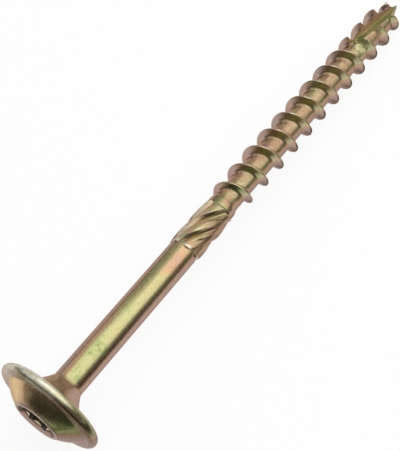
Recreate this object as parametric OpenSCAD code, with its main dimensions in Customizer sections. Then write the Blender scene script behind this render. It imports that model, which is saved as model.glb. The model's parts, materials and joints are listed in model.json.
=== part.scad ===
// Wafer head wood screw, 8 x 120, lying at rest on its flange rim and its thread.
// Sizes in mm. The screw is drawn along z, bearing face at z = 0, point at +z,
// and laid down along +x at the end.

/* [Head] */
// Diameter of the flange
head_d = 20.8; // [18.8:0.1:24]
// Height of the head over the bearing face
head_h = 4.4; // [3.9:0.05:5.6]
// Thickness of the flange, its rim a full round
flange_t = 1.85; // [1.5:0.05:2.6]
// Diameter of the raised cone where it meets the flange
cone_d = 16.7; // [13.5:0.1:17.2]
// How far the cone bulges over a straight one
cone_bulge = 0.2; // [0.05:0.01:0.4]
// Diameter of the flat land on top of the cone
land_d = 9.3; // [8.8:0.1:11]
// Bevel between land and cone
land_bevel = 0.16; // [0.08:0.02:0.4]

/* [Drive recess] */
// Size of the recess over two opposite lobes
drive_a = 6.75; // [6.3:0.05:7]
// Size of the recess between two opposite inner arcs
drive_b = 4.85; // [4.5:0.05:5]
// Radius of each lobe
lobe_r = 0.56; // [0.45:0.01:0.7]
// Depth of the lobes below the land
drive_depth = 3.3; // [2.4:0.05:3.6]
// Depth of the cone below the lobes
drill_depth = 0.5; // [0.3:0.05:0.8]
// Diameter of the bevelled mouth
mouth_d = 8.2; // [7.3:0.05:8.4]
// Depth of the bevel at the mouth
mouth_depth = 0.75; // [0.5:0.05:1.4]
// Angle of the recess round the axis
drive_turn = 40; // [0:1:59]

/* [Shank] */
// Length from the bearing face to the point
length = 120; // [105:1:160]
// Diameter of the plain shank
shank_d = 5.85; // [5.5:0.05:6.2]
// Diameter of the neck at the bearing face
neck_d = 12.2; // [9:0.1:13]
// Length of the neck
neck_l = 3.95; // [2.5:0.05:6]
// How far the neck is hollowed below a straight cone
neck_sag = 0.28; // [0.1:0.02:0.5]

/* [Reamer] */
// Length of the fluted part
reamer_l = 11.6; // [8:0.1:18]
// Diameter over the ridges
ridge_d = 6.5; // [6.3:0.05:7.2]
// Diameter between the flute floors
floor_d = 5.1; // [4.8:0.05:5.4]
// Length in which the ridges rise at each end
ream_ease = 0.6; // [0.4:0.05:2]
// Number of flutes
flutes = 6; // [4:1:8]
// Lead of the flutes, one full turn
reamer_lead = 32.5; // [24:0.5:60]
// Angle of the first ridge round the axis
reamer_turn = 23; // [0:1:120]

/* [Thread] */
// Length from the collar to the point
thread_l = 69.7; // [45:0.1:80]
// Diameter over the thread crests
thread_d = 8.2; // [7.4:0.05:9]
// Diameter of the thread core
core_d = 5.05; // [4.6:0.05:5.2]
// Pitch of the thread
pitch = 5.4; // [4.2:0.1:6.5]
// Width of the thread crest
crest_w = 0.3; // [0.15:0.01:0.45]
// Angle of each flank
flank = 20; // [15:0.5:28]
// Length of the fillet at the foot of each flank
root_fillet = 0.6; // [0.2:0.01:0.8]
// Turns in which the thread rises out of the collar
run_in = 0.5; // [0.3:0.05:1.5]
// Turns in which the crest reaches its full size
grow = 2.5; // [1.6:0.1:4]
// Angle round the axis at which the thread begins
thread_turn = 110; // [0:1:359]
// Length of the plain collar behind the thread
collar_l = 1.6; // [1.4:0.05:4]
// Length of the taper from collar to core
taper_l = 1.3; // [0.8:0.05:2.5]

/* [Point] */
// Length of the core's cone
point_l = 7.5; // [6.5:0.1:10]
// Length over which the crests run down to the point
ogive_l = 10.6; // [9:0.1:14]
// How far the last two turns of the thread close up towards the point
close_up = 1.2; // [0:0.1:2]
// Length of the cutting notch
notch_l = 19; // [12:0.1:22]
// Height of the notch floor over the axis where the notch begins
notch_h = 1.2; // [0.8:0.05:1.5]
// Sideways distance of the notch floor from the axis where it begins
notch_side = 1.85; // [1.2:0.05:2.1]
// Distance of the notch floor from the axis at the point
notch_end = 0.12; // [0.08:0.01:0.3]
// Included angle of the notch
notch_angle = 90; // [60:1:110]
// Angle round the axis from which the notch is cut
notch_turn = 5; // [0:1:359]

/* [Hidden] */
$fn = 96;
zinc = [0.80, 0.69, 0.40];
// overlap of pieces that are fused or cut
lap = 1;
// least distance kept between neighbouring points of a profile
hair = 0.05;

head_r = head_d / 2;
rim_r = flange_t / 2;
flat_r = head_r - rim_r;
cone_r = cone_d / 2;
land_r = land_d / 2;
shank_r = shank_d / 2;
neck_r = neck_d / 2;
ridge_r = ridge_d / 2;
floor_r = floor_d / 2;
core_r = core_d / 2;
crest_r = thread_d / 2;
collar_z = length - thread_l;
reamer_end = collar_z - collar_l;
reamer_z = reamer_end - reamer_l;

// circle through two points, out by sag to the left of the way from a to b, as [radius, centre]
function bulged(a, b, sag) = let (
        c = norm(b - a), r = (c * c / 4 + sag * sag) / (2 * sag), w = (b - a) / c)
    [r, (a + b) / 2 + [w[1], -w[0]] * (r - sag)];
land_z = land_bevel - head_h;
cone_arc = bulged([cone_r, -flange_t], [land_r, land_z], cone_bulge);
neck_arc = bulged([neck_r, 0], [shank_r, neck_l], neck_sag);

// six-lobe outline, lobe arcs and inner arcs tangent to each other
lobe_at = drive_a / 2 - lobe_r;
inner = drive_b / 2;
mouth_in = inner - 2 * hair;
lobe_steps = 8;
arc_r = (lobe_at * lobe_at + inner * inner - 2 * lobe_at * inner * cos(30) - lobe_r * lobe_r)
    / (2 * (lobe_r + lobe_at * cos(30) - inner));
arc_at = inner + arc_r;
swing = atan2(arc_at * sin(30), arc_at * cos(30) - lobe_at);
function turned(p, a) = [p[0] * cos(a) - p[1] * sin(a), p[0] * sin(a) + p[1] * cos(a)];
function polar(r, a) = [r * cos(a), r * sin(a)];
function lobe(k, n) = concat(
    [for (j = [0:n]) turned([lobe_at, 0] + polar(lobe_r, swing * (2 * j / n - 1)), 60 * k)],
    [for (j = [1:n - 1]) turned(polar(arc_at, 30)
        + polar(arc_r, swing + 180 + (60 - 2 * swing) * j / n), 60 * k)]);
lobes = [for (k = [0:5]) each lobe(k, lobe_steps)];

// reamer, rows of radii that turn with the lead, each lobe steep on one side and round on the other
ream_cols = 10;
steep_cols = 2;
lobe_power = 1.7;
ream_n = flutes * ream_cols;
ream_rows = 14;
ream_lap = 0.4;
// rows in which the ridges rise, and the share of the rise they begin with
ream_ends = [ream_ease / 4, ream_ease * 5 / 8];
ream_first = 1 / 6;
ream_z = concat([-ream_lap], ream_ends,
    [for (k = [0:ream_rows]) ream_ease + (reamer_l - 2 * ream_ease) * k / ream_rows],
    [reamer_l - ream_ends[1], reamer_l - ream_ends[0], reamer_l + ream_lap]);
function ridge(i) = let (j = i % ream_cols)
    j < steep_cols ? 1 - j / steep_cols
    : 1 - pow((ream_cols - j) / (ream_cols - steep_cols), lobe_power);
function ream_full(z) = max(0, min(1, min(z, reamer_l - z) / ream_ease + ream_first));
function ream_r(w, z) = z < 0 || z > reamer_l ? floor_r - hair + hair * w
    : floor_r + (ridge_r - floor_r) * w * sin(90 * ream_full(z));
ream_points = [for (z = ream_z) for (i = [0:ream_n - 1])
    let (a = reamer_turn + 360 * (i / ream_n + z / reamer_lead),
        r = ream_r(ridge(i), z))
    [r * cos(a), r * sin(a), reamer_z + z]];
function ream_at(k, i) = k * ream_n + i % ream_n;
ream_faces = concat(
    [[for (i = [0:ream_n - 1]) ream_at(0, i)]],
    [for (k = [0:len(ream_z) - 2]) for (i = [0:ream_n - 1]) each [
        [ream_at(k, i), ream_at(k + 1, i), ream_at(k + 1, i + 1)],
        [ream_at(k, i), ream_at(k + 1, i + 1), ream_at(k, i + 1)]]],
    [[for (i = [ream_n - 1:-1:0]) ream_at(len(ream_z) - 1, i)]]);

// thread, one profile of eight points carried round the helix column by column
steps = 40;
// the thread begins this far inside the collar, and its core that much further
tuck = 0.3;
foot_l = 0.8;
// the last crest stays this far behind the point, and is level with the core before it
tip_gap = 0.95;
fade_l = 0.7;
fade_power = 2.4;
// turns that close up, and the share of the crest that the run-in raises
close_turns = 2;
early = 0.75;
first_z = collar_z - tuck;
cols = floor((length + close_up - tip_gap - first_z) / pitch * steps);
last_z = crest_z(cols);
foot_z = first_z - foot_l;
function core_at(z) = min(core_r, (length - z) * core_r / point_l);
function crest_z(t) = first_z + pitch * t / steps
    - close_up * pow(max(0, 1 - (cols - t) / steps / close_turns), 2);
function rise(t) = early * min(1, t / steps / run_in) + (1 - early) * min(1, t / steps / grow);
function ogive(z) = let (from = length - ogive_l, u = max(0, (z - from) / (last_z - fade_l - from)))
    crest_r * sqrt(max(0, 1 - pow(u, fade_power)));
function crest_at(t) = max(core_at(crest_z(t)),
    min(core_r + (crest_r - core_r) * rise(t), ogive(crest_z(t))));
function on_axis(r, t, z) = [r * cos(thread_turn + 360 * t / steps),
    r * sin(thread_turn + 360 * t / steps), z];
// each flank's fillet as its middle and its end on the flank, from the corner, for a length of 1
bend = 45 + flank / 2;
fillet_mid = polar((1 - sin(bend)) / cos(bend), bend);
fillet_end = polar(1, 90 + flank);
function column(t) = let (
        z = crest_z(t), top = crest_at(t), h = top - core_at(z), f = root_fillet * min(1, h),
        c = crest_w / 2, foot = c + h * tan(flank) + hair,
        side = [[foot + f + 2 * hair, 0], [foot + hair, 0] + f * fillet_mid, [foot, 0] + f * fillet_end])
    concat(
        [for (p = side) on_axis(core_at(z - p[0]) + p[1], t, z - p[0])],
        [on_axis(top, t, z - c), on_axis(top, t, z + c)],
        [for (m = [2:-1:0]) let (p = side[m]) on_axis(core_at(z + p[0]) + p[1], t, z + p[0])]);
thread_points = concat(
    [for (t = [0:cols]) each column(t)],
    [for (t = [0:steps - 1]) on_axis(core_r, t, foot_z)],
    [[0, 0, length]]);
apex = len(thread_points) - 1;
// place of the last point in a column
end = 7;
function at(t, m) = (end + 1) * t + m;
function ring(t) = (end + 1) * (cols + 1) + t % steps;
thread_faces = concat(
    [[for (t = [0:steps - 1]) ring(t)]],
    [for (t = [0:steps - 2]) each [
        [ring(t), at(t, 0), at(t + 1, 0)], [ring(t), at(t + 1, 0), ring(t + 1)]]],
    [for (m = [0:end - 1]) [ring(steps - 1), at(0, m + 1), at(0, m)]],
    [[ring(steps - 1), at(0, 0), ring(0)], [ring(steps - 1), at(steps, 0), at(0, end)],
     [ring(steps - 1), at(steps - 1, 0), at(steps, 0)]],
    [for (t = [0:cols - 1]) for (m = [0:end - 1]) each [
        [at(t, m), at(t, m + 1), at(t + 1, m + 1)], [at(t, m), at(t + 1, m + 1), at(t + 1, m)]]],
    [for (t = [0:cols - steps - 1]) each [
        [at(t, end), at(t + steps, 0), at(t + steps + 1, 0)],
        [at(t, end), at(t + steps + 1, 0), at(t + 1, end)]]],
    [[at(cols - steps + 1, end), at(cols - steps, end), at(cols, 0)],
     [at(cols - steps + 1, end), at(cols, end), apex]],
    [for (m = [0:end - 1]) [at(cols - steps + 1, end), at(cols, m), at(cols, m + 1)]],
    [for (t = [cols - steps + 1:cols - 1]) [at(t, end), apex, at(t + 1, end)]]);

// rest, tipped until the first crest under the screw touches the floor
lean = min([for (t = [0:cols])
    let (z = crest_z(t) + crest_w / 2, down = crest_at(t) * cos(thread_turn + 360 * t / steps),
        a = flat_r + down, b = z + rim_r)
    if (z > length / 2) atan2(a, b) + asin(rim_r / norm([a, b]))]);
lift = flat_r * cos(lean) + rim_r - rim_r * sin(lean);
tail_x = -head_h * cos(lean) - (land_r - land_bevel) * sin(lean);
mid_x = (tail_x + length * cos(lean)) / 2;

module head_section() {
    translate([0, -flange_t]) square([flat_r, flange_t]);
    translate([flat_r, -rim_r]) circle(r = rim_r);
    polygon([[0, -rim_r], [land_r, -rim_r], [land_r, land_z],
        [land_r - land_bevel, -head_h], [0, -head_h]]);
    intersection() {
        translate([0, land_z]) square([flat_r, hair - flange_t - land_z]);
        translate(cone_arc[1]) circle(r = cone_arc[0]);
    }
}

module neck_section() {
    difference() {
        translate([0, -lap]) square([neck_r + lap, neck_l + 2 * lap]);
        translate(neck_arc[1]) circle(r = neck_arc[0]);
    }
}

module recess() {
    rotate([0, 0, drive_turn]) translate([0, 0, -head_h - lap])
        linear_extrude(drive_depth + lap) polygon(lobes);
    bevel = mouth_d / 2 - mouth_in;
    translate([0, 0, -head_h - mouth_depth])
        cylinder(h = 2 * mouth_depth, r1 = mouth_in + 2 * bevel, r2 = mouth_in);
    translate([0, 0, drive_depth - head_h - lap])
        cylinder(h = lap + drill_depth, r1 = mouth_in, r2 = 0);
}

module blank() {
    color(zinc) difference() {
        rotate_extrude() union() {
            head_section();
            neck_section();
            square([shank_r, reamer_z]);
        }
        recess();
    }
}

module reamer() {
    color(zinc) polyhedron(ream_points, ream_faces);
}

module collar() {
    // the taper runs on below the core
    end_r = core_r - 4 * hair;
    end_z = collar_z + taper_l * (shank_r - end_r) / (shank_r - core_r);
    color(zinc) rotate_extrude() polygon([[0, reamer_end], [shank_r, reamer_end],
        [shank_r, collar_z], [end_r, end_z], [0, end_z]]);
}

module notch() {
    pitch_down = atan((notch_h - notch_end) / notch_l);
    swing_in = atan(notch_side / notch_l);
    wide = thread_d * tan(notch_angle / 2);
    rotate([0, 0, notch_turn]) translate([notch_h, -notch_side, length - notch_l])
        rotate([-swing_in, -pitch_down, 0])
        linear_extrude(notch_l + thread_d) polygon([[0, 0], [thread_d, -wide], [thread_d, wide]]);
}

module thread() {
    color(zinc) difference() {
        polyhedron(thread_points, thread_faces);
        notch();
    }
}

module screw() {
    translate([-mid_x, 0, lift]) rotate([0, 90 + lean, 0]) rotate([0, 0, 180]) union() {
        blank();
        reamer();
        collar();
        thread();
    }
}

screw();
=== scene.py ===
import json
import math

import bmesh
import bpy
import numpy as np
from mathutils import Matrix, Vector, noise


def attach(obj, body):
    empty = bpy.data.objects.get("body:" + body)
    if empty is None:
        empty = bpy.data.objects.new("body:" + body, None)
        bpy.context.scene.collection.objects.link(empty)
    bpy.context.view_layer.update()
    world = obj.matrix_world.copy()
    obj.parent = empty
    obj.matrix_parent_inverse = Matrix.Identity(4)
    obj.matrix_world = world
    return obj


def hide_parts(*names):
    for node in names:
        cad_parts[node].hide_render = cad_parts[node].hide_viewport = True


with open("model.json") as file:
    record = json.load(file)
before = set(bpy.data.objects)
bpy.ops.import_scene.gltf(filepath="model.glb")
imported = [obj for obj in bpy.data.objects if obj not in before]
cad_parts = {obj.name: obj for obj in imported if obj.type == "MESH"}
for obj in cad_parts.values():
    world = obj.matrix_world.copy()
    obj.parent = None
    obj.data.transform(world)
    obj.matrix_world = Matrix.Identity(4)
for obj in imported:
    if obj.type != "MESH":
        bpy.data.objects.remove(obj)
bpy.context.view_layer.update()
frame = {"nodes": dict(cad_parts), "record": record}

print("frame loaded:", ", ".join(sorted(frame["nodes"])))

scene = bpy.context.scene
scene.view_settings.view_transform = "Standard"


# the screw is drawn in mm along z, bearing face at 0 and point at +z, then laid on its axis
def meshPiece(name, points, faces):
    mesh = bpy.data.meshes.new(name)
    mesh.from_pydata([tuple(p) for p in points], [], faces)
    bm = bmesh.new()
    bm.from_mesh(mesh)
    bmesh.ops.recalc_face_normals(bm, faces=bm.faces)
    bm.to_mesh(mesh)
    bm.free()
    piece = bpy.data.objects.new(name, mesh)
    scene.collection.objects.link(piece)
    return piece


def turnedPiece(name, outline, count):
    # outline runs from one point on the axis to another, as (radius, z)
    points = [(0, 0, outline[0][1])]
    for r, z in outline[1:-1]:
        for i in range(count):
            a = 2 * math.pi * i / count
            points.append((r * math.cos(a), r * math.sin(a), z))
    points.append((0, 0, outline[-1][1]))
    rows, last = len(outline) - 2, len(points) - 1
    at = lambda k, i: 1 + k * count + i % count
    faces = [(0, at(0, i + 1), at(0, i)) for i in range(count)]
    for k in range(rows - 1):
        faces += [(at(k, i), at(k, i + 1), at(k + 1, i + 1), at(k + 1, i)) for i in range(count)]
    faces += [(last, at(rows - 1, i), at(rows - 1, i + 1)) for i in range(count)]
    return meshPiece(name, points, faces)


def loftFaces(count, rows):
    # loops of count points one above the other, capped at both ends
    faces = [tuple(range(count - 1, -1, -1)), tuple(range((rows - 1) * count, rows * count))]
    for low in range(0, (rows - 1) * count, count):
        high = low + count
        faces += [(low + i, low + (i + 1) % count, high + (i + 1) % count, high + i) for i in range(count)]
    return faces


def applied(piece, tool, operation):
    mod = piece.modifiers.new(operation.lower(), "BOOLEAN")
    mod.operation = operation
    mod.solver = "MANIFOLD"
    mod.object = tool
    graph = bpy.context.evaluated_depsgraph_get()
    mesh = bpy.data.meshes.new_from_object(piece.evaluated_get(graph))
    piece.modifiers.clear()
    piece.data = mesh
    bpy.data.objects.remove(tool)
    return piece


def arcPoints(centre, radius, start, end, steps):
    points = []
    for k in range(steps + 1):
        a = math.radians(start + (end - start) * k / steps)
        points.append((centre[0] + radius * math.cos(a), centre[1] + radius * math.sin(a)))
    return points


def bulgedArc(a, b, sag, steps):
    # arc through two points, out by sag to the left of the way from a to b
    chord = math.dist(a, b)
    radius = (chord * chord / 4 + sag * sag) / (2 * abs(sag))
    side = math.copysign(radius - abs(sag), sag) / chord
    centre = ((a[0] + b[0]) / 2 + (b[1] - a[1]) * side, (a[1] + b[1]) / 2 - (b[0] - a[0]) * side)
    first, final = (math.degrees(math.atan2(p[1] - centre[1], p[0] - centre[0])) for p in (a, b))
    return arcPoints(centre, radius, first, final + 360 * round((first - final) / 360), steps)


head = {
    "diameter": 20.8, "height": 4.4, "flange": 1.85, "rimSteps": 36, "count": 240,
    "cone": 16.7, "coneBulge": 0.2, "coneSteps": 12,
    "crease": [(-0.04, -0.03), (0.05, 0.005)],     # soft foot of the cone, out and along from its corner
    "land": 9.3, "landRing": 0.5, "landBevel": 0.16, "landSoft": (0.25, 0.3),   # shares of land and bevel
    "dieRings": (8.5, 8.78, 9.06), "ringWidth": 0.11, "ringDepth": 0.035,       # forged in the flange
    "faceRings": (8.0, 6.6),                       # on the bearing face, they only carry the colour
    "neck": 12.2, "neckLength": 3.95, "neckSag": 0.28, "neckSteps": 14,
    "shank": 5.85, "shankEnd": 37.1, "endTaper": 2.4,
    "shankRings": (0.02, 0.1, 0.3, 0.5, 0.7, 0.9, 0.99, 1),                     # shares of the plain length
}


def blankPiece():
    flange, coneR, landR = head["flange"], head["cone"] / 2, head["land"] / 2
    rimR, bevel, soft = flange / 2, head["landBevel"], head["landSoft"]
    flatR, top = head["diameter"] / 2 - rimR, -head["height"]
    outline = [(0, top), (landR * head["landRing"], top), (landR - bevel, top),
               (landR - soft[0] * bevel, top + soft[1] * bevel), (landR, top + bevel)]
    # domed cone, flange and rounded rim
    outline += bulgedArc(outline[-1], (coneR, -flange), -head["coneBulge"], head["coneSteps"])[1:-1]
    outline += [(coneR + out, along - flange) for out, along in head["crease"]]
    half, deep = head["ringWidth"] / 2, head["ringDepth"]
    for r in head["dieRings"]:
        outline += [(r - half, -flange), (r, deep - flange), (r + half, -flange)]
    outline += arcPoints((flatR, -rimR), rimR, -90, 90, head["rimSteps"])
    outline += [(r, 0) for r in head["faceRings"]]
    # hollow neck, then the shank with its end drawn in under the flutes
    shankR, length, end = head["shank"] / 2, head["neckLength"], head["shankEnd"]
    outline += bulgedArc((head["neck"] / 2, 0), (shankR, length), head["neckSag"], head["neckSteps"])
    outline += [(shankR, length + share * (end - length)) for share in head["shankRings"]]
    end += head["endTaper"]
    outline += [(reamer["floor"] / 2 - reamer["sink"], end), (0, end)]
    return turnedPiece("blank", outline, head["count"])


drive = {
    "across": 6.75, "inner": 4.85, "lobe": 0.56, "turn": 40.0, "arcSteps": 14, "depth": 3.3,
    "floorRound": [(0.35, 0.0), (0.1, -0.04), (0.0, -0.14)],   # height over the floor, growth of the lobes
    "mouth": 8.2, "mouthDepth": 0.75, "mouthInset": 0.1, "mouthEdge": 0.05, "mouthLip": (0.06, 0.02),
    "mouthRings": (0, 0.08, 0.16, 0.25, 0.36, 0.5, 0.65, 0.8, 1), "mouthCount": 192,
    "drill": 0.5, "drillShare": 0.33, "drillTip": (0.12, 0.05), "drillCount": 96,
    "over": 1.0,                                   # how far the cutters stand out
}


def lobeOutline(grow):
    lobeR = drive["lobe"] + grow
    lobeAt, inner = drive["across"] / 2 - drive["lobe"], drive["inner"] / 2
    c30, s30 = math.cos(math.pi / 6), math.sin(math.pi / 6)
    arcR = ((lobeAt ** 2 + inner ** 2 - 2 * lobeAt * inner * c30 - drive["lobe"] ** 2)
            / (2 * (drive["lobe"] + lobeAt * c30 - inner)))
    arcAt = inner + arcR
    swing = math.degrees(math.atan2(arcAt * s30, arcAt * c30 - lobeAt))
    points, n = [], drive["arcSteps"]
    for k in range(6):
        a = math.radians(60 * k + drive["turn"])
        local = arcPoints((lobeAt, 0), lobeR, -swing, swing, n)
        local += arcPoints((arcAt * c30, arcAt * s30), arcR - grow, swing + 180, 240 - swing, n)[1:-1]
        points += [(x * math.cos(a) - y * math.sin(a), x * math.sin(a) + y * math.cos(a)) for x, y in local]
    return points


def recessPiece():
    # lobed bore with a small round at its floor, a bevelled mouth and a drilled cone
    top, depth, over = -head["height"], drive["depth"], drive["over"]
    rows = [(-over, 0.0)] + [(depth - up, grow) for up, grow in drive["floorRound"]]
    points = [(x, y, top + z) for z, grow in rows for x, y in lobeOutline(grow)]
    bore = meshPiece("lobedBore", points, loftFaces(len(points) // len(rows), len(rows)))
    mouthR, innerR = drive["mouth"] / 2, drive["inner"] / 2 - drive["mouthInset"]
    deep, edge, (lipOut, lipUp) = drive["mouthDepth"], drive["mouthEdge"], drive["mouthLip"]
    outline = [(0, top - deep), (2 * mouthR - innerR, top - deep), (mouthR + lipOut, top - lipUp)]
    outline += [(mouthR - edge + (innerR - mouthR + edge) * share, top + edge + (deep - edge) * share)
                for share in drive["mouthRings"]]
    cone = turnedPiece("mouthCone", outline + [(0, top + deep)], drive["mouthCount"])
    floor, (tipR, tipUp) = top + depth, drive["drillTip"]
    tip = floor + drive["drill"]
    outline = [(0, floor - over), (innerR, floor - over), (innerR * drive["drillShare"], floor)]
    drill = turnedPiece("drillCone", outline + [(tipR, tip - tipUp), (0, tip)], drive["drillCount"])
    return bore, cone, drill


reamer = {
    "length": 11.6, "ridge": 6.5, "floor": 5.1, "flutes": 6, "lead": 32.5, "turn": 23.0,
    "ease": 0.6, "first": 0.5,                     # mm in which the lobes rise, and what they start with
    "steep": 0.2, "power": 1.7,                    # steep share of a lobe, and the curve of the rest
    "tuck": 0.4, "sink": 0.05,                     # hidden ends, how far on and how far under the floors
    "perFlute": 30, "rows": 116,
}
fluteEnd = head["shankEnd"] + reamer["length"]


def reamerPiece():
    perFlute, rows, length = reamer["perFlute"], reamer["rows"], reamer["length"]
    n, steep, sink = reamer["flutes"] * perFlute, reamer["steep"], reamer["sink"]
    floorR, rise = reamer["floor"] / 2, (reamer["ridge"] - reamer["floor"]) / 2
    heights = [-reamer["tuck"]] + [length * k / rows for k in range(rows + 1)] + [length + reamer["tuck"]]
    points = []
    for k, z in enumerate(heights):
        hidden = k in (0, len(heights) - 1)
        full = math.sin(math.pi / 2 * min(1, min(z, length - z) / reamer["ease"] + reamer["first"]))
        for i in range(n):
            u = i % perFlute / perFlute
            w = 1 - u / steep if u < steep else 1 - ((1 - u) / (1 - steep)) ** reamer["power"]
            r = floorR - sink + sink * w if hidden else floorR + rise * w * full
            a = math.radians(reamer["turn"] + 360 * (i / n + z / reamer["lead"]))
            points.append((r * math.cos(a), r * math.sin(a), head["shankEnd"] + z))
    return meshPiece("reamer", points, loftFaces(n, len(heights)))


collar = {
    "length": 1.6, "scoop": 0.8, "taper": 1.3, "under": 0.2, "count": 160,
    "startEdge": [(-0.02, -0.02), (0, 0.06), (0, 0.18)],   # out from the shank, along from the start
    "endEdge": [(0, -0.45), (0, -0.3), (-0.03, -0.02)],    # the same, along from the end
}
collarEnd = fluteEnd + collar["length"]


def collarPiece():
    shankR, coreR = head["shank"] / 2, thread["core"] / 2
    low, endR = fluteEnd - collar["scoop"], coreR - collar["under"]
    end = collarEnd + collar["taper"] * (shankR - endR) / (shankR - coreR)
    outline = [(0, low), (reamer["floor"] / 2 - reamer["sink"], low)]
    outline += [(shankR + out, fluteEnd + along) for out, along in collar["startEdge"]]
    outline += [(shankR + out, collarEnd + along) for out, along in collar["endEdge"]]
    return turnedPiece("collar", outline + [(endR, end), (0, end)], collar["count"])


thread = {
    "length": 120.0, "crest": 8.2, "core": 5.05, "pitch": 5.4, "crestWidth": 0.3, "flank": 20.0,
    "turn": 110.0, "steps": 120,
    "runIn": 0.5, "early": 0.75, "grow": 2.5,      # turns to the early share of the height, and to all
    "fillet": 0.6, "filletSteps": 7, "footEase": 0.05, "filletReach": 0.1, "rootLap": 0.25,
    "crestRound": 0.09, "crestDrop": 1.2, "crestEdge": [(0.1, 0.3), (0.9, 0.0)],   # shares of the round
    "crestWave": 0.03, "wavesPerTurn": 5.0, "waveSeed": (3.7, 1.3),
    "flankRings": (0.4, 0.65, 0.85),               # flat, they only carry the colour
    "point": 7.5, "ogive": 10.6, "fade": 0.7, "fadePower": 2.4, "tipGap": 0.95,
    "closeUp": 1.2, "closeTurns": 2,               # mm by which the last turns close up
    "tuck": 0.3, "sunk": 0.8,                      # first turn and core, how far back into the collar
}


def threadPiece():
    steps, pitch, length = thread["steps"], thread["pitch"], thread["length"]
    coreR, crestR = thread["core"] / 2, thread["crest"] / 2
    firstZ = collarEnd - thread["tuck"]
    cols = math.floor((length + thread["closeUp"] - thread["tipGap"] - firstZ) / pitch * steps)
    flank = math.radians(thread["flank"])
    slope = math.tan(flank)

    def crestZ(t):
        closed = max(0, 1 - (cols - t) / steps / thread["closeTurns"]) ** 2
        return firstZ + pitch * t / steps - thread["closeUp"] * closed

    def coreAt(z):
        return min(coreR, (length - z) * coreR / thread["point"])

    lastZ, fadeFrom = crestZ(cols), length - thread["ogive"]

    def crestAt(t):
        z, turns, early = crestZ(t), t / steps, thread["early"]
        rise = early * min(1, turns / thread["runIn"]) + (1 - early) * min(1, turns / thread["grow"])
        u = max(0, (z - fadeFrom) / (lastZ - thread["fade"] - fadeFrom))
        ogive = crestR * math.sqrt(max(0, 1 - u ** thread["fadePower"]))
        return max(coreAt(z), min(coreR + (crestR - coreR) * rise, ogive))

    def column(t):
        z, top = crestZ(t), crestAt(t)
        h = top - coreAt(z)
        part = min(1, h)
        wave = noise.noise(Vector((t / steps * thread["wavesPerTurn"], *thread["waveSeed"])))
        top -= thread["crestWave"] * part * abs(wave)
        f, c, soft = thread["fillet"] * part, thread["crestWidth"] / 2, thread["crestRound"] * part
        foot = c + h * slope + thread["footEase"]
        far, near = foot + f + thread["filletReach"], foot - f * math.sin(flank)
        side = [(far + thread["rootLap"], 0)]      # (distance from the crest line, height over the core)
        for k in range(thread["filletSteps"] + 1):
            s = k / thread["filletSteps"]
            out = far * (1 - s) ** 2 + foot * 2 * s * (1 - s) + near * s * s
            side.append((out, f * math.cos(flank) * s * s))
        lowD, lowR = side[-1][0], coreAt(z - side[-1][0]) + side[-1][1]
        drop = thread["crestDrop"] * soft
        edgeD, edgeR = c + drop * slope, top - drop
        upper = [(lowD + (edgeD - lowD) * u, lowR + (edgeR - lowR) * u) for u in thread["flankRings"]]
        upper.append((edgeD, edgeR))
        upper += [(c - inward * soft, top - down * soft) for inward, down in thread["crestEdge"]]
        points = [(d, coreAt(z - d) + up, -1) for d, up in side] + [(d, r, -1) for d, r in upper]
        points += [(d, r, 1) for d, r in reversed(upper)]
        points += [(d, coreAt(z + d) + up, 1) for d, up in reversed(side)]
        a = math.radians(thread["turn"] + 360 * t / steps)
        return [(r * math.cos(a), r * math.sin(a), z + sign * d) for d, r, sign in points]

    columns = [column(t) for t in range(cols + 1)]
    width = len(columns[0])
    points = [p for c in columns for p in c]
    footAt = len(points)
    for t in range(steps):
        a = math.radians(thread["turn"] + 360 * t / steps)
        points.append((coreR * math.cos(a), coreR * math.sin(a), firstZ - thread["sunk"]))
    apex = len(points)
    points.append((0, 0, length))
    # each turn's far edge meets the next turn's near edge, so the skin is closed
    at = lambda t, m: t * width + m
    ring = lambda t: footAt + t % steps
    end = width - 1
    faces = [tuple(ring(t) for t in range(steps))]
    for t in range(steps - 1):
        faces.append((ring(t), at(t, 0), at(t + 1, 0), ring(t + 1)))
    faces += [(ring(steps - 1), at(0, m + 1), at(0, m)) for m in range(end)]
    faces += [(ring(steps - 1), at(0, 0), ring(0)), (ring(steps - 1), at(steps, 0), at(0, end)),
              (ring(steps - 1), at(steps - 1, 0), at(steps, 0))]
    for t in range(cols):
        faces += [(at(t, m), at(t, m + 1), at(t + 1, m + 1), at(t + 1, m)) for m in range(end)]
    for t in range(cols - steps):
        faces.append((at(t, end), at(t + steps, 0), at(t + steps + 1, 0), at(t + 1, end)))
    join = at(cols - steps + 1, end)
    faces += [(join, at(cols - steps, end), at(cols, 0)), (join, at(cols, end), apex)]
    faces += [(join, at(cols, m), at(cols, m + 1)) for m in range(end)]
    faces += [(at(t, end), apex, at(t + 1, end)) for t in range(cols - steps + 1, cols)]
    return meshPiece("thread", points, faces)


notch = {
    "length": 19.0, "height": 1.2, "side": 1.85, "end": 0.12, "angle": 90.0, "turn": 5.0, "floor": 0.14,
    "snap": 0.01, "floorShare": 0.45,              # how near a face has to lie to count as wall or floor
}


def notchPlace():
    swing = math.atan(notch["side"] / notch["length"])
    fall = math.atan((notch["height"] - notch["end"]) / notch["length"])
    return (Matrix.Rotation(math.radians(notch["turn"]), 4, "Z")
            @ Matrix.Translation((notch["height"], -notch["side"], thread["length"] - notch["length"]))
            @ Matrix.Rotation(-fall, 4, "Y") @ Matrix.Rotation(-swing, 4, "X"))


def notchPiece():
    reach, spread = thread["crest"], math.tan(math.radians(notch["angle"] / 2))
    wide, half = reach * spread, notch["floor"] / 2
    section = [(half / spread, -half), (reach, -wide), (reach, wide), (half / spread, half)]
    points = [(x, y, z) for z in (0, notch["length"] + reach) for x, y in section]
    piece = meshPiece("notch", points, loftFaces(len(section), 2))
    piece.data.transform(notchPlace())
    return piece


shownSide = 18.9    # degrees round the axis from the uppermost side to the one in the middle of the view

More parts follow.
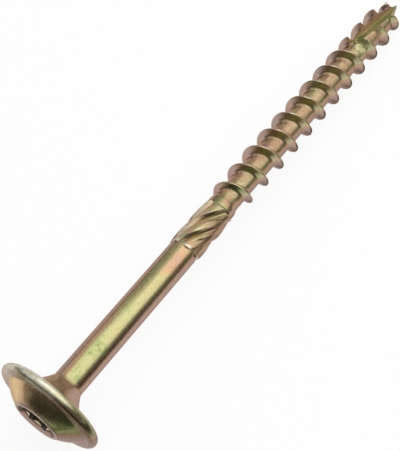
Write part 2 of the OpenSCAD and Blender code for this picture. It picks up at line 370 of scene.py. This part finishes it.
burr = {
    # metal pushed up beside the notch: z, turn from the shown side, radius, half sizes along, across and out
    "lumps": [(101.2, 3, 2.40, (1.6, 1.3, 0.38)), (102.3, -40, 2.05, (0.5, 0.4, 0.44)),
              (106.8, 9, 2.10, (1.6, 0.6, 0.36)), (111.6, 22, 1.55, (0.9, 0.5, 0.30)),
              (117.0, -62, 2.35, (0.5, 0.3, 0.34))],
    "detail": 4, "rough": 0.25, "grain": 1.1, "seedStep": 7.1,
}


def burrPieces():
    for index, (z, turn, out, (along, wide, high)) in enumerate(burr["lumps"]):
        bm = bmesh.new()
        bmesh.ops.create_icosphere(bm, subdivisions=burr["detail"], radius=1)
        for v in bm.verts:
            spot = v.co * burr["grain"] + Vector((burr["seedStep"] * index, 0, 0))
            grow = 1 + burr["rough"] * noise.noise(spot)
            v.co = Vector((v.co.x * high, v.co.y * wide, v.co.z * along)) * grow
        swing = Matrix.Rotation(math.radians(turn + shownSide), 4, "Z")
        bm.transform(swing @ Matrix.Translation((out, 0, z)))
        mesh = bpy.data.meshes.new("burr")
        bm.to_mesh(mesh)
        bm.free()
        lump = bpy.data.objects.new("burr", mesh)
        scene.collection.objects.link(lump)
        yield lump


screw = blankPiece()
for cutter in recessPiece():
    applied(screw, cutter, "DIFFERENCE")
print("head, neck and shank:", len(screw.data.polygons), "faces")
threaded = applied(threadPiece(), notchPiece(), "DIFFERENCE")
for lump in burrPieces():
    applied(threaded, lump, "UNION")
print("thread and point:", len(threaded.data.polygons), "faces")
for part in (reamerPiece(), collarPiece(), threaded):
    applied(screw, part, "UNION")
screw.name = screw.data.name = "zincScrew"
print("screw fused:", len(screw.data.polygons), "faces")


# lines that the film follows, and limits of some places as low, high and softness, None for an open side
landZ, underZ, headZ = -head["height"], -head["flange"], (None, -0.075, 0.15)
landR, coneR, shankR = head["land"] / 2, head["cone"] / 2, head["shank"] / 2
inMouth, ribR, farSide = (None, drive["mouth"] / 2 - 0.05, 0.2), drive["inner"] / 2, (-76, 58, 24)
onFlange, threadZ = (coneR + 0.05, None, 0.2), (collarEnd + 1.15, None, 2.1)
neckEnd, shankEnd = head["neckLength"], head["shankEnd"]

stains = {
    # the deep mark is painted shade, film set by turn also carries painted reflection colours, and the marks
    # for uncoated and golden metal also paint highlights and glints
    "kinds": ("film", "deep", "bare", "scuff", "gold", "dull", "lined", "torn"),
    "wearFrom": 14, "wearFull": 55, "leastWear": 0.1,   # edge angles in degrees, wear left on torn metal
    "sharpFrom": 34, "weld": 0.0008, "sliver": 0.0005,
    "sideFade": (0.55, 0.4),                       # sine of the turn where the middle ends, softness
    # laid in this order, each within its own limits of z, r, turn from the shown side, back (turn from the
    # far side), facing (1 is towards the point) and below (depth under the crests)
    # round gives values by turn, lay gives one value, or a pair for the sides and the middle
    "patches": [
        # film straw in the middle of the view and mauve at the sides, film colour together with painted
        # reflection bands
        {"lay": {"film": (0.12, 0.70)}},
        {"z": (shankEnd + 0.2, fluteEnd - 0.1, 0.6), "lay": {"lined": 1.0}},
        {"z": (shankEnd - 0.6, fluteEnd + 0.5, 0.4), "lay": {"torn": 0.5}},
        # cone of the head, and its shoulder by the land: film, golden film and painted shade set by turn,
        # which paint in the cone's dark reflection, and a little painted highlight on the shoulder
        {"z": headZ, "round": {
            "turn": [-150, -78, -62, -48, -40, -34, -20, 10, 26, 40, 54, 66, 80, 110, 150],
            "film": [.60, .48, .44, .36, .34, .36, .40, .50, .80, .93, .66, .08, .02, .10, .45],
            "deep": [.40, .00, .00, .15, .62, .60, .38, .30, .42, .36, .75, .40, .12, .10, .35],
            "gold": [.00, .75, .90, .40, .00, .00, .00, .00, .00, .00, .00, .00, .00, .00, .00]}},
        {"z": headZ, "r": (None, landR + 0.65, 1.2), "turn": (-60, -30, 20),
         "lay": {"film": 0.20, "deep": 0.08, "gold": 0.0}},
        {"z": headZ, "r": (None, landR + 0.5, 0.9), "turn": (-30, 20, 20),
         "lay": {"film": 0.62, "deep": 0.15, "bare": 0.12}},
        # flange and rim: film and painted shade set by turn, and uncoated metal by turn as the painted rim
        # highlight
        {"z": headZ, "r": onFlange, "lay": {"gold": 0.0}, "round": {
            "turn": [-150, -75, -56, -38, -22, -6, 8, 35, 55, 75, 110, 150],
            "film": [0.55, 0.40, 0.50, 0.52, 0.50, 0.45, 0.36, 0.38, 0.24, 0.06, 0.10, 0.45],
            "deep": [0.30, 0.05, 0.50, 0.75, 0.00, 0.00, 0.65, 0.85, 0.75, 0.35, 0.10, 0.30],
            "bare": [0.20, 0.85, 0.35, 0.05, 0.60, 0.50, 0.00, 0.00, 0.00, 0.05, 0.20, 0.20]}},
        {"z": (underZ + 0.36, headZ[1], 0.2), "r": onFlange, "round": {
            "turn": [-150, -75, -50, -20, 2, 16, 34, 50, 75, 110, 150],
            "film": [0.55, 0.60, 0.66, 0.62, 0.60, 0.64, 0.80, 0.74, 0.12, 0.15, 0.50],
            "deep": [0.20, 0.05, 0.00, 0.00, 0.05, 0.25, 0.15, 0.40, 0.55, 0.20, 0.20],
            "bare": [0.40, 0.90, 1.00, 1.00, 0.45, 0.15, 0.05, 0.10, 0.25, 0.40, 0.40]}},
        # land with painted shade by turn near it, then the recess in painted shade, dark past full so that
        # the pits don't lighten it, its far slope, and ribs with painted golden glints
        {"z": (None, landZ + 0.11, 0.14), "lay": {"film": 0.10, "deep": 0.0, "gold": 0.0}},
        {"z": (None, landZ + 0.11, 0.14), "turn": (-46, 70, 24), "lay": {"film": 0.28, "deep": 0.35}},
        {"z": (landZ + 0.075, headZ[1], 0.09), "r": inMouth,
         "lay": {"film": 0.5, "deep": 1.8, "gold": 0.0}},
        {"z": (landZ - 0.02, landZ + 0.42, 0.1), "r": inMouth, "back": farSide,
         "lay": {"film": 0.08, "deep": 0.12}},
        {"z": (landZ + 0.525, headZ[1], 0.15), "r": (ribR - 0.125, ribR + 0.325, 0.2), "back": farSide,
         "lay": {"film": 0.56, "deep": 0.0, "gold": 0.9}},
        # flutes, with film, painted shade and painted highlights set by turn, and a painted highlight on the
        # lips where they start
        {"z": (shankEnd + 0.1, fluteEnd, 0.3), "round": {
            "turn": [-150, -75, -55, -35, -10, 6, 20, 32, 45, 70, 110, 150],
            "film": [0.30, 0.56, 0.52, 0.52, 0.54, 0.52, 0.46, 0.42, 0.36, 0.24, 0.20, 0.30],
            "deep": [0.20, 0.00, 0.00, 0.00, 0.05, 0.45, 0.60, 0.30, 0.05, 0.30, 0.25, 0.20],
            "bare": [0.00, 0.60, 0.30, 0.15, 0.05, 0.00, 0.00, 0.00, 0.00, 0.00, 0.00, 0.00]}},
        {"z": (shankEnd + 0.1, shankEnd + 0.65, 0.3), "r": (shankR + 0.04, None, 0.07),
         "lay": {"bare": 0.8}},
        # spots on the shank, then on the collar: film tints and painted shade set by turn, which paint in
        # the reflected bands
        {"z": (2.0, 12.0, 4.0), "turn": (-44, -24, 8), "lay": {"film": 0.42, "deep": 0.0}},
        {"z": (2.0, 9.5, 4.0), "turn": (-22, 8, 16), "lay": {"film": 0.82, "deep": 0.0}},
        {"z": (shankEnd - 17.1, shankEnd + 1.9, 10.0), "turn": (-52, -14, 9),
         "lay": {"film": 0.64, "deep": 0.52}},
        {"z": (neckEnd + 0.05, shankEnd + 0.9, 1.0), "turn": (-85, -60, 10),
         "lay": {"film": 0.12, "deep": 0.22}},
        {"z": (neckEnd + 0.05, shankEnd + 0.9, 1.0), "turn": (66, 90, 10),
         "lay": {"film": 0.10, "deep": 0.18}},
        {"z": (1.0, 15.0, 9.0), "turn": (28, 46, 10), "lay": {"film": 0.30, "deep": 0.10}},
        {"z": (shankEnd - 6.1, shankEnd + 0.9, 6.0), "turn": (-14, 26, 12),
         "lay": {"film": 0.34, "deep": 0.0}},
        {"z": (shankEnd - 14.1, shankEnd - 9.1, 4.0), "turn": (4, 28, 14),
         "lay": {"film": 0.76, "deep": 0.0}},
        {"z": (fluteEnd - 0.1, collarEnd + 0.3, 0.3), "turn": (-55, -6, 14),
         "lay": {"film": 0.66, "deep": 0.68}},
        {"z": (fluteEnd - 0.1, fluteEnd + 0.9, 0.6), "turn": (-14, 20, 14),
         "lay": {"film": 0.70, "deep": 0.25}},
        {"z": (fluteEnd + 0.8, collarEnd + 1.2, 0.6), "turn": (-14, 30, 14),
         "lay": {"film": 0.26, "deep": 0.25}},
        {"z": (fluteEnd - 0.1, collarEnd + 1.2, 0.6), "turn": (58, 90, 14),
         "lay": {"film": 0.12, "deep": 0.35}},
        # neck, with film and painted shade set by turn
        {"z": (0.05, neckEnd, 0.2), "round": {
            "turn": [-150, -70, -45, -28, 0, 14, 30, 60, 110, 150],
            "film": [0.30, 0.40, 0.45, 0.38, 0.36, 0.22, 0.08, 0.06, 0.10, 0.20],
            "deep": [0.20, 0.25, 0.42, 0.64, 0.52, 0.22, 0.00, 0.00, 0.10, 0.15]}},
        # thread roots with their scuffs, flanks towards the head and towards the point, with film, painted
        # shade and a little painted highlight set by turn and facing
        {"z": threadZ, "round": {
            "turn": [-150, -75, -52, -34, -12, 10, 24, 40, 56, 75, 100, 150],
            "film": [0.15, 0.18, 0.46, 0.42, 0.38, 0.42, 0.56, 0.42, 0.20, 0.12, 0.15, 0.20],
            "deep": [0.10, 0.06, 0.20, 0.40, 0.48, 0.38, 0.00, 0.22, 0.12, 0.38, 0.20, 0.15]}},
        {"z": threadZ, "turn": (-30, 40, 20), "lay": {"scuff": 0.28}},
        {"z": threadZ, "facing": (None, -0.525, 0.55), "lay": {"scuff": 0.0}, "round": {
            "turn": [-150, -80, -60, -42, -20, 4, 22, 36, 50, 62, 74, 88, 120, 150],
            "film": [0.12, 0.12, 0.30, 0.50, 0.62, 0.66, 0.68, 0.62, 0.18, 0.05, 0.08, 0.20, 0.20, 0.15],
            "deep": [0.10, 0.05, 0.08, 0.44, 0.60, 0.30, 0.15, 0.10, 0.05, 0.10, 0.40, 0.80, 0.50, 0.15],
            "bare": [0.00, 0.12, 0.15, 0.00, 0.00, 0.00, 0.10, 0.25, 0.08, 0.00, 0.00, 0.00, 0.00, 0.00]}},
        {"z": threadZ, "facing": (0.575, None, 0.55),
         "lay": {"film": (0.20, 0.75), "deep": (0.0, 0.35), "scuff": 0.0}},
        # how much of the edge wear is gone, set by turn so that worn edges stay as a painted crest highlight
        # near -24, then painted highlight of uncoated metal and painted shade on the crests by turn, and
        # painted shade on the crest edges from 48 to 130
        {"z": threadZ, "round": {
            "turn": [-150, -75, -55, -36, -24, -10, 6, 30, 48, 62, 150],
            "torn": [0.85, 0.55, 0.65, 0.55, 0.05, 0.65, 0.90, 0.80, 0.75, 0.92, 0.90]}},
        {"z": threadZ, "below": (None, 0.125, 0.15), "round": {
            "turn": [-150, -75, -55, -36, -24, -10, 6, 30, 48, 62, 150],
            "bare": [0.10, 0.25, 0.10, 0.20, 0.85, 0.15, 0.00, 0.10, 0.15, 0.05, 0.05],
            "deep": [0.10, 0.10, 0.25, 0.20, 0.00, 0.55, 0.65, 0.20, 0.15, 0.30, 0.30]}},
        {"z": threadZ, "below": (None, 0.21, 0.18), "turn": (48, 130, 20),
         "lay": {"film": 0.3, "deep": 1.1, "bare": 0.0}},
        # a painted highlight near the point
        {"z": (thread["length"] - 4.5, thread["length"] - 1.5, 0.6), "r": (2.25, None, 0.3),
         "turn": (-95, -48, 12), "lay": {"film": 0.7, "bare": 0.9}},
    ],
    # torn metal by the notch start: z, turn, half sizes in mm and degrees, film, deep, where deep is painted
    # shade, darkest in the small spot at -33
    "torn": [(101.2, 2, 2.0, 34, 0.66, 0.10), (100.6, -33, 0.5, 9, 0.50, 0.95),
             (107.2, 10, 2.2, 30, 0.42, 0.10)],
    "tornEdge": (0.9, 0.4), "tornR": (None, 3.15, 0.3), "tornLay": {"scuff": 0.8, "torn": 0.9, "dull": 0.7},
    # each notch wall gets its own film, and the upper one a little painted shade
    "notchWalls": {"upper": {"film": 0.36, "deep": 0.10}, "lower": {"film": 0.82}, "base": {"film": 0.76}},
    "notchDull": 0.6,
    "drawnRound": 3.0, "drawnAlong": 0.08,         # how close the drawn lines lie, round and along
}


def past(value, edge, soft):
    # 0 before the edge and 1 behind it
    u = np.clip((value - edge) / soft + 0.5, 0, 1)
    return u * u * (3 - 2 * u)


def band(value, low, high, soft):
    # 1 between low and high, where None leaves that side open
    inside = np.ones(len(value))
    if low is not None:
        inside = inside * past(value, low, soft)
    if high is not None:
        inside = inside * (1 - past(value, high, soft))
    return inside


def crestLine(z):
    # radius over the crests, drawn in towards the point
    run = thread["ogive"] - thread["tipGap"] - thread["fade"]
    u = np.clip((z - thread["length"] + thread["ogive"]) / run, 0, 1)
    return thread["crest"] / 2 * np.sqrt(1 - u ** thread["fadePower"])


def filmMarks(co, facing):
    z, r = co[:, 2], np.hypot(co[:, 0], co[:, 1])
    turn = (np.degrees(np.arctan2(co[:, 1], co[:, 0])) - shownSide + 180) % 360 - 180
    back, below = turn % 360 - 180, crestLine(z) - r
    places = {"z": z, "r": r, "turn": turn, "back": back, "facing": facing, "below": below}
    middle = 1 - past(np.abs(np.sin(np.radians(turn))), *stains["sideFade"])
    marks = {name: np.zeros(len(z)) for name in stains["kinds"]}

    def lay(mask, values):
        for name, value in values.items():
            if isinstance(value, tuple):
                value = value[0] + (value[1] - value[0]) * middle
            marks[name] = marks[name] * (1 - mask) + value * mask

    for patch in stains["patches"]:
        mask = np.ones(len(z))
        for key, value in places.items():
            if key in patch:
                mask = mask * band(value, *patch[key])
        rows = dict(patch.get("round", {}))
        turns = rows.pop("turn", None)
        lay(mask, {name: np.interp(turn, turns, row, period=360) for name, row in rows.items()})
        lay(mask, patch.get("lay", {}))
    for at, swing, along, wide, film, deep in stains["torn"]:
        near = np.hypot((z - at) / along, (turn - swing) / wide)
        mask = (1 - past(near, *stains["tornEdge"])) * band(r, *stains["tornR"])
        lay(mask, {"film": film, "deep": deep, **stains["tornLay"]})
    return marks


def edgeAngles(bm):
    # the sharpest convex and hollow edge at each point, in degrees
    convex, hollow = np.zeros(len(bm.verts)), np.zeros(len(bm.verts))
    for edge in bm.edges:
        if len(edge.link_faces) != 2:
            continue
        angle = math.degrees(edge.calc_face_angle_signed(0))
        for v in edge.verts:
            convex[v.index] = max(convex[v.index], angle)
            hollow[v.index] = max(hollow[v.index], -angle)
    return convex, hollow


def notchFaces(bm):
    # which faces are the two walls and the narrow floor of the notch
    toNotch, spread = notchPlace().inverted(), math.tan(math.radians(notch["angle"] / 2))
    x, y, z = np.array([toNotch @ f.calc_center_median() for f in bm.faces]).T
    snap, floor = notch["snap"], notch["floor"]
    wall = (z > -snap) & (x > 0) & (np.abs(np.abs(y) - x * spread) < snap)
    low = np.abs(x - floor / 2 / spread) < snap
    base = (z > -snap) & (np.abs(y) < notch["floorShare"] * floor) & low
    return {"upper": wall & (y < 0), "lower": wall & (y > 0), "base": base}


def surfaceMarks(piece):
    # wear on convex edges, darkening in hollow creases, the film with its painted shade and highlights, and
    # the notch walls on their own
    bm = bmesh.new()
    bm.from_mesh(piece.data)
    bmesh.ops.remove_doubles(bm, verts=bm.verts, dist=stains["weld"])
    bmesh.ops.dissolve_degenerate(bm, edges=bm.edges, dist=stains["sliver"])
    bm.to_mesh(piece.data)
    bm.verts.ensure_lookup_table()
    bm.normal_update()
    convex, hollow = edgeAngles(bm)
    co = np.array([v.co for v in bm.verts])
    marks = filmMarks(co, np.array([v.normal.z for v in bm.verts]))
    walls = notchFaces(bm)
    counts = [len(f.verts) for f in bm.faces]
    bm.free()
    low, span, least = stains["wearFrom"], stains["wearFull"] - stains["wearFrom"], stains["leastWear"]
    kept = 1 - marks.pop("torn")
    marks["wear"] = np.clip((convex - low) / span, 0, 1) * (least + (1 - least) * kept)
    marks["creaseDark"] = np.clip((hollow - low) / span, 0, 1) * kept
    corners = np.zeros(len(piece.data.loops), dtype=np.int32)
    piece.data.loops.foreach_get("vertex_index", corners)
    marks = {name: values[corners] for name, values in marks.items()}
    for side, faces in walls.items():
        here = np.repeat(faces, counts)
        for name in ("film", "deep", "bare", "wear", "creaseDark", "scuff"):
            marks[name][here] = stains["notchWalls"][side].get(name, 0)
        marks["dull"][here] = stains["notchDull"]
    for name, values in marks.items():
        mark = piece.data.attributes.new(name, "FLOAT", "CORNER")
        mark.data.foreach_set("value", values.astype(np.float32))
    # the way the lines run, straight along the shank and round with the flutes
    fluted = np.clip(co[:, 2] - head["shankEnd"], 0, reamer["length"])
    swing = np.arctan2(co[:, 1], co[:, 0]) - 2 * math.pi * fluted / reamer["lead"]
    lines = stains["drawnRound"] * np.stack([np.cos(swing), np.sin(swing)])
    drawn = np.stack([*lines, stains["drawnAlong"] * co[:, 2]], axis=1)
    mark = piece.data.attributes.new("drawn", "FLOAT_VECTOR", "POINT")
    mark.data.foreach_set("vector", drawn.astype(np.float32).ravel())


# painted shade, highlights and reflection colours go in with the film marks
surfaceMarks(screw)
screw.data.shade_smooth()
screw.data.set_sharp_from_angle(angle=math.radians(stains["sharpFrom"]))
print("film, wear and dirt marked")

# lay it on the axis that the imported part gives, in metres
mounts = {m["name"]: m for m in frame["record"]["mounts"]}
axis = Vector(mounts["shank"]["axis"]).normalized()
upper = (Vector((0, 0, 1)) - axis * axis.z).normalized()
bearing = Vector(mounts["drive_recess"]["pos_m"]) + axis * head["height"] / 1000
turned = Matrix((upper, axis.cross(upper), axis)).transposed().to_4x4()
screw.data.transform(Matrix.Translation(bearing) @ turned @ Matrix.Scale(0.001, 4))
print("screw laid down at", [round(v * 1000, 2) for v in bearing])


class NodeBench:
    # short hand for wiring a material
    def __init__(self, tree):
        self.tree = tree

    def add(self, kind, **settings):
        node = self.tree.nodes.new(kind)
        for key, value in settings.items():
            setattr(node, key, value)
        return node

    def wire(self, source, target):
        self.tree.links.new(source, target)

    def math(self, operation, first, second):
        node = self.add("ShaderNodeMath", operation=operation)
        for socket, value in zip(node.inputs, (first, second)):
            if isinstance(value, (int, float)):
                socket.default_value = value
            else:
                self.wire(value, socket)
        return node.outputs[0]

    def times(self, first, second):
        return self.math("MULTIPLY", first, second)

    def total(self, start, *shares):
        # start, with each value added by its weight
        for value, weight in shares:
            start = self.math("ADD", start, self.times(value, weight))
        return start

    def mark(self, name):
        return self.add("ShaderNodeAttribute", attribute_name=name).outputs["Fac"]

    def noise(self, vector, scale, detail, rough, distortion):
        node = self.add("ShaderNodeTexNoise")
        node.inputs["Scale"].default_value = scale
        node.inputs["Detail"].default_value = detail
        node.inputs["Roughness"].default_value = rough
        node.inputs["Distortion"].default_value = distortion
        self.wire(vector, node.inputs["Vector"])
        return node.outputs["Fac"]

    def ramp(self, factor, stops):
        node = self.add("ShaderNodeValToRGB")
        spots = node.color_ramp.elements
        while len(spots) < len(stops):
            spots.new(0.5)
        for spot, (position, colour) in zip(spots, stops):
            spot.position = position
            spot.color = (*colour, 1) if isinstance(colour, tuple) else (colour, colour, colour, 1)
        self.wire(factor, node.inputs["Fac"])
        return node.outputs["Color"]

    def mix(self, factor, first, second, blend="MIX"):
        node = self.add("ShaderNodeMix", data_type="RGBA", blend_type=blend)
        for index, value in ((0, factor), (6, first), (7, second)):
            if isinstance(value, tuple):
                node.inputs[index].default_value = (*value, 1)
            elif isinstance(value, (int, float)):
                node.inputs[index].default_value = value
            else:
                self.wire(value, node.inputs[index])
        return node.outputs[2]


zinc = {
    # passivation colours from a thin film to a thick one, mauve through straw to green
    "film": [(0.0, (0.46, 0.33, 0.29)), (0.20, (0.52, 0.335, 0.25)), (0.40, (0.57, 0.35, 0.20)),
             (0.55, (0.53, 0.44, 0.22)), (0.72, (0.50, 0.48, 0.23)), (0.84, (0.36, 0.40, 0.16)),
             (0.94, (0.15, 0.19, 0.06)), (1.0, (0.12, 0.13, 0.05))],
    # uncoated metal stands for wear and for painted highlights, deep is the colour of painted shade, and the
    # crease colour darkens hollow creases
    "bare": (0.80, 0.79, 0.74), "creaseDark": (0.06, 0.045, 0.025), "deep": (0.05, 0.04, 0.02),
    "scuff": (0.78, 0.70, 0.46), "gold": (0.88, 0.68, 0.36), "edgeTint": (0.70, 0.62, 0.60),
    # scale, detail, roughness and distortion of each pattern, the last two along the drawn lines
    "blotch": (190, 3, 0.5, 0.6), "grain": (3600, 2, 0.6, 0.0), "pits": (1300, 3, 0.6, 0.0),
    "swirl": (760, 2, 0.5, 1.8), "streak": (0.42, 3, 0.55, 0.3), "lines": (2.6, 3, 0.6, 0.0),
    "filmSpread": {"blotch": 0.55, "streak": 0.35, "pits": 0.35},
    "speck": [(0.3, 0.70), (0.5, 0.95), (0.72, 1.0)], "speckShare": 0.9,
    "shadePits": [(0.3, 1.0), (0.55, 0.85), (0.72, 0.55)],
    "darkLines": [(0.32, 0.6), (0.44, 0.0)], "paleLines": [(0.54, 0.0), (0.70, 0.6)],
    "scuffRidge": [(0.38, 0.0), (0.48, 1.0), (0.52, 1.0), (0.62, 0.0)],
    "scuffSpread": [(0.4, 0.1), (0.6, 0.9)],
    "goldAndGlintPits": [(0.3, 0.6), (0.6, 1.0)], "bareAndGlintPits": [(0.35, 0.35), (0.6, 1.0)],
    "creaseDarkShare": 0.3, "bareAndGlintShare": 0.75,
    "roughness": {"least": 0.20, "pits": 0.18, "dull": 0.35, "creaseDark": 0.2},
    "bump": {"strength": 0.35, "distance": 0.00003, "pits": 1.2, "grain": 0.5, "lines": 2.0},
}


def yellowZinc():
    material = bpy.data.materials.new("yellowZinc")
    material.use_nodes = True
    bench = NodeBench(material.node_tree)
    shader = material.node_tree.nodes["Principled BSDF"]
    spot = bench.add("ShaderNodeTexCoord").outputs["Object"]
    drawn = bench.add("ShaderNodeAttribute", attribute_name="drawn").outputs["Vector"]
    blotch, grain = bench.noise(spot, *zinc["blotch"]), bench.noise(spot, *zinc["grain"])
    pits, swirl = bench.noise(spot, *zinc["pits"]), bench.noise(spot, *zinc["swirl"])
    streak, lines = bench.noise(drawn, *zinc["streak"]), bench.noise(drawn, *zinc["lines"])
    creaseDark, lined, dull = (bench.mark(name) for name in ("creaseDark", "lined", "dull"))
    # film thickness, then painted shade with the dark lines, pale lines, rolling scuffs, golden film and
    # painted golden glints, darkening in creases, and uncoated metal from wear and painted highlights over
    # it
    spread = zinc["filmSpread"]
    film = bench.math("SUBTRACT", bench.mark("film"), sum(spread.values()) / 2)
    film = bench.total(film, (blotch, spread["blotch"]), (streak, spread["streak"]), (pits, spread["pits"]))
    colour = bench.ramp(film, zinc["film"])
    colour = bench.mix(zinc["speckShare"], colour, bench.ramp(grain, zinc["speck"]), "MULTIPLY")
    # painted shade from the deep mark, broken by the pits, with the dark lines added
    depth = bench.times(bench.mark("deep"), bench.ramp(pits, zinc["shadePits"]))
    depth = bench.total(depth, (lined, bench.ramp(lines, zinc["darkLines"])))
    colour = bench.mix(depth, colour, zinc["deep"])
    colour = bench.mix(bench.times(lined, bench.ramp(lines, zinc["paleLines"])), colour, zinc["scuff"])
    scuff = bench.times(bench.ramp(swirl, zinc["scuffRidge"]), bench.ramp(blotch, zinc["scuffSpread"]))
    colour = bench.mix(bench.times(scuff, bench.mark("scuff")), colour, zinc["scuff"])
    # golden film on the cone, and painted golden glints on the recess ribs
    gold = bench.times(bench.mark("gold"), bench.ramp(pits, zinc["goldAndGlintPits"]))
    colour = bench.mix(gold, colour, zinc["gold"])
    colour = bench.mix(bench.times(creaseDark, zinc["creaseDarkShare"]), colour, zinc["creaseDark"])
    # uncoated metal from edge wear and from painted highlights
    bare = bench.math("MAXIMUM", bench.mark("wear"), bench.mark("bare"))
    bare = bench.times(bare, bench.ramp(pits, zinc["bareAndGlintPits"]))
    colour = bench.mix(bench.times(bare, zinc["bareAndGlintShare"]), colour, zinc["bare"])
    bench.wire(colour, shader.inputs["Base Color"])
    satin = zinc["roughness"]
    rough = bench.total(satin["least"], (pits, satin["pits"]), (dull, satin["dull"]), (creaseDark, satin["creaseDark"]))
    bench.wire(rough, shader.inputs["Roughness"])
    shader.inputs["Metallic"].default_value = 1.0
    shader.inputs["Specular Tint"].default_value = (*zinc["edgeTint"], 1)
    relief = zinc["bump"]
    bump = bench.add("ShaderNodeBump")
    bump.inputs["Strength"].default_value = relief["strength"]
    bump.inputs["Distance"].default_value = relief["distance"]
    height = bench.times(bench.times(lined, lines), relief["lines"])
    height = bench.total(height, (pits, relief["pits"]), (grain, relief["grain"]))
    bench.wire(height, bump.inputs["Height"])
    bench.wire(bump.outputs[0], shader.inputs["Normal"])
    return material


screw.data.materials.clear()
screw.data.materials.append(yellowZinc())
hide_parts("screw")
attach(screw, "root")
print("yellow zinc on the screw:", len(screw.data.vertices), "points")


studio = {
    "floorColour": 0.98, "floorSize": 40.0, "floorDrop": 0.00002,
    "floorWhite": 0.90,                            # share of plain white that the eye sees in the floor
    "skyLean": (0.38, 0.16, 1.0),                  # the sky is brighter behind than on the near side
    "skyStops": [(0.0, 0.14), (0.42, 0.16), (0.51, 0.74), (1.0, 0.80)],
    # corners of the card on the floor, and its height at each
    "card": [(-0.086, 0.016, 0.018), (-0.086, -0.021, 0.018), (-0.02, -0.042, 0.011), (0.07, -0.09, 0.008)],
    "cardColour": 0.06,
    "overhead": {"at": (0.16, -0.07, 0.42), "aim": (0, 0, 0), "size": (0.7, 0.6), "power": 1.15},
}


def mattPaint(name, grey):
    paint = bpy.data.materials.new(name)
    paint.use_nodes = True
    shader = paint.node_tree.nodes["Principled BSDF"]
    shader.inputs["Base Color"].default_value = (grey, grey, grey, 1)
    shader.inputs["Roughness"].default_value = 1.0
    return paint, shader


def floorPlane():
    half = studio["floorSize"] / 2
    mesh = bpy.data.meshes.new("floor")
    corners = [(-half, -half, 0), (half, -half, 0), (half, half, 0), (-half, half, 0)]
    mesh.from_pydata(corners, [], [(0, 1, 2, 3)])
    floor = bpy.data.objects.new("floor", mesh)
    floor.location.z = -studio["floorDrop"]
    scene.collection.objects.link(floor)
    paint, shader = mattPaint("paleFloor", studio["floorColour"])
    shader.inputs["Specular IOR Level"].default_value = 0.0
    # seen by the camera or in a reflection the floor is mostly white, the rest of it carries the shadow
    bench = NodeBench(paint.node_tree)
    path = bench.add("ShaderNodeLightPath")
    seen = bench.math("ADD", path.outputs["Is Camera Ray"], path.outputs["Is Glossy Ray"])
    seen = bench.math("MINIMUM", bench.math("ADD", seen, path.outputs["Is Transmission Ray"]), 1.0)
    white, blend = bench.add("ShaderNodeEmission"), bench.add("ShaderNodeMixShader")
    bench.wire(bench.times(seen, studio["floorWhite"]), blend.inputs["Fac"])
    bench.wire(shader.outputs[0], blend.inputs[1])
    bench.wire(white.outputs[0], blend.inputs[2])
    bench.wire(blend.outputs[0], paint.node_tree.nodes["Material Output"].inputs["Surface"])
    mesh.materials.append(paint)


def darkCard():
    # a low dark card on the near side, there for the reflections alone
    points = [(x, y, z) for x, y, high in studio["card"] for z in (0, high)]
    corners = range(0, len(points) - 2, 2)
    card = meshPiece("darkCard", points, [(k, k + 2, k + 3, k + 1) for k in corners])
    card.visible_camera = card.visible_diffuse = card.visible_shadow = False
    card.data.materials.append(mattPaint("darkCard", studio["cardColour"])[0])


def softSky():
    world = bpy.data.worlds.new("softSky")
    scene.world = world
    world.use_nodes = True
    bench = NodeBench(world.node_tree)
    height = bench.add("ShaderNodeVectorMath", operation="DOT_PRODUCT")
    bench.wire(bench.add("ShaderNodeTexCoord").outputs["Generated"], height.inputs[0])
    height.inputs[1].default_value = studio["skyLean"]
    sky = bench.ramp(height.outputs["Value"], studio["skyStops"])
    bench.wire(sky, world.node_tree.nodes["Background"].inputs["Color"])


def softBox(name, box):
    lamp = bpy.data.lights.new(name, "AREA")
    lamp.shape = "RECTANGLE"
    lamp.size, lamp.size_y = box["size"]
    lamp.energy = box["power"]
    piece = bpy.data.objects.new(name, lamp)
    piece.location = box["at"]
    piece.rotation_euler = (Vector(box["aim"]) - Vector(box["at"])).to_track_quat("-Z", "Y").to_euler()
    piece.visible_camera = False
    scene.collection.objects.link(piece)


floorPlane()
darkCard()
softSky()
softBox("overhead", studio["overhead"])
print("floor and light set")


cameraSetup = {
    "at": (-0.082626, -0.050291, 0.158861), "aim": (-0.013986, -0.000059, 0.00806), "roll": -0.256,
    "lens": 71.84, "sensor": 36, "shift": (-0.0064, 0.0076), "clipStart": 0.01,
}


def photoCamera():
    data = bpy.data.cameras.new("photoCamera")
    data.sensor_width, data.sensor_fit, data.lens = cameraSetup["sensor"], "AUTO", cameraSetup["lens"]
    data.shift_x, data.shift_y = cameraSetup["shift"]
    data.clip_start = cameraSetup["clipStart"]
    camera = bpy.data.objects.new("photoCamera", data)
    at, aim = Vector(cameraSetup["at"]), Vector(cameraSetup["aim"])
    turn = (aim - at).to_track_quat("-Z", "Y").to_matrix().to_4x4()
    roll = Matrix.Rotation(math.radians(cameraSetup["roll"]), 4, "Z")
    camera.matrix_world = Matrix.Translation(at) @ turn @ roll
    scene.collection.objects.link(camera)
    scene.camera = camera


photoCamera()
